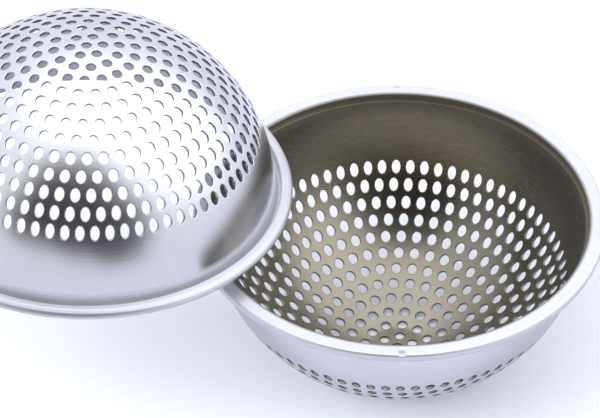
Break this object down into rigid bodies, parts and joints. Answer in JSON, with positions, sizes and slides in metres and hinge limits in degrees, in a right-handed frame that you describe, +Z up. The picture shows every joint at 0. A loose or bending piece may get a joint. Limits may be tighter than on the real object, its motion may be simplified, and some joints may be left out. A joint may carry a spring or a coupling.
{
  "type": "tea infuser",
  "caption": "Perforated steel tea ball, opened: an upright half-ball bowl with its domed cap resting on the rim, and a link chain ending in a wire hook.",
  "frame": {"origin": "centre of the flat foot under the bowl, at table height", "axes": "+Z up through the open mouth of the bowl; +X from the lifted-off cap towards the bowl; +Y to the back"},
  "size_m": [0.148, 0.084, 0.049],
  "materials": {
    "bowl_steel": "satin-polished stainless sheet",
    "cap_steel": "satin-polished stainless sheet",
    "wire_steel": "bright drawn stainless wire",
    "chain_steel": "bright drawn stainless wire",
    "hook_steel": "bright drawn stainless wire"
  },
  "bodies": {
    "bowl": {"bowl": "bowl_steel"},
    "cap": {"cap": "cap_steel", "bail": "wire_steel"},
    "jump_ring": {"jump_ring": "wire_steel"},
    "link_01": {"link_01": "chain_steel"},
    "link_02": {"link_02": "chain_steel"},
    "link_03": {"link_03": "chain_steel"},
    "link_04": {"link_04": "chain_steel"},
    "link_05": {"link_05": "chain_steel"},
    "link_06": {"link_06": "chain_steel"},
    "link_07": {"link_07": "chain_steel"},
    "link_08": {"link_08": "chain_steel"},
    "link_09": {"link_09": "chain_steel"},
    "link_10": {"link_10": "chain_steel"},
    "link_11": {"link_11": "chain_steel"},
    "link_12": {"link_12": "chain_steel"},
    "link_13": {"link_13": "chain_steel"},
    "link_14": {"link_14": "chain_steel"},
    "link_15": {"link_15": "chain_steel"},
    "link_16": {"link_16": "chain_steel"},
    "hook": {"hook": "hook_steel"}
  },
  "joints": [
    {"name": "cap_slide", "type": "slide", "parent": "bowl", "child": "jump_ring", "axis": [0.9973, -0.0732, 0], "range_m": [0, 0.04104]},
    {"name": "cap_tilt", "type": "hinge", "parent": "jump_ring", "child": "cap", "pos_m": [-0.03067, 0.02563, 0.02347], "axis": [0.9107, -0.4131, 0], "range_deg": [0, 3.03]},
    {"name": "link_01_hinge", "type": "hinge", "parent": "jump_ring", "child": "link_01", "pos_m": [-0.07229, 0.00311, 0.02217], "axis": [0, 1, 0], "range_deg": [0, 12]},
    {"name": "link_02_hinge", "type": "hinge", "parent": "link_01", "child": "link_02", "pos_m": [-0.07415, 0.00311, 0.01553], "axis": [0, 1, 0], "range_deg": [0, 12]},
    {"name": "link_03_hinge", "type": "hinge", "parent": "link_02", "child": "link_03", "pos_m": [-0.0766, 0.00311, 0.01139], "axis": [0, 1, 0], "range_deg": [0, 12]},
    {"name": "link_04_hinge", "type": "hinge", "parent": "link_03", "child": "link_04", "pos_m": [-0.08151, 0.00311, 0.00655], "axis": [0, 1, 0], "range_deg": [0, 12]},
    {"name": "link_05_hinge", "type": "hinge", "parent": "link_04", "child": "link_05", "pos_m": [-0.08568, 0.00311, 0.00417], "axis": [0, 1, 0], "range_deg": [0, 12]},
    {"name": "link_06_hinge", "type": "hinge", "parent": "link_05", "child": "link_06", "pos_m": [-0.09235, 0.00311, 0.0024], "axis": [0, 1, 0], "range_deg": [0, 12]},
    {"name": "link_07_hinge", "type": "hinge", "parent": "link_06", "child": "link_07", "pos_m": [-0.0982, 0.00311, 0.0024], "axis": [0, 0, 1], "range_deg": [-25, 25]},
    {"name": "link_08_hinge", "type": "hinge", "parent": "link_07", "child": "link_08", "pos_m": [-0.10286, 0.00195, 0.0024], "axis": [0, 0, -1], "range_deg": [-25, 25]},
    {"name": "link_09_hinge", "type": "hinge", "parent": "link_08", "child": "link_09", "pos_m": [-0.10895, -0.00129, 0.0024], "axis": [0, 0, 1], "range_deg": [-25, 25]},
    {"name": "link_10_hinge", "type": "hinge", "parent": "link_09", "child": "link_10", "pos_m": [-0.11252, -0.0045, 0.0024], "axis": [0, 0, -1], "range_deg": [-25, 25]},
    {"name": "link_11_hinge", "type": "hinge", "parent": "link_10", "child": "link_11", "pos_m": [-0.11637, -0.01022, 0.0024], "axis": [0, 0, 1], "range_deg": [-25, 25]},
    {"name": "link_12_hinge", "type": "hinge", "parent": "link_11", "child": "link_12", "pos_m": [-0.11802, -0.01473, 0.0024], "axis": [0, 0, -1], "range_deg": [-25, 25]},
    {"name": "link_13_hinge", "type": "hinge", "parent": "link_12", "child": "link_13", "pos_m": [-0.11874, -0.0216, 0.0024], "axis": [0, 0, 1], "range_deg": [-25, 25]},
    {"name": "link_14_hinge", "type": "hinge", "parent": "link_13", "child": "link_14", "pos_m": [-0.11807, -0.02635, 0.0024], "axis": [0, 0, -1], "range_deg": [-25, 25]},
    {"name": "link_15_hinge", "type": "hinge", "parent": "link_14", "child": "link_15", "pos_m": [-0.11548, -0.03275, 0.0024], "axis": [0, 0, 1], "range_deg": [-25, 25]},
    {"name": "link_16_hinge", "type": "hinge", "parent": "link_15", "child": "link_16", "pos_m": [-0.11266, -0.03663, 0.0024], "axis": [0, 0, -1], "range_deg": [-25, 25]},
    {"name": "hook_hinge", "type": "hinge", "parent": "link_16", "child": "hook", "pos_m": [-0.10738, -0.04106, 0.0024], "axis": [0, 0, 1], "range_deg": [-25, 25]}
  ]
}
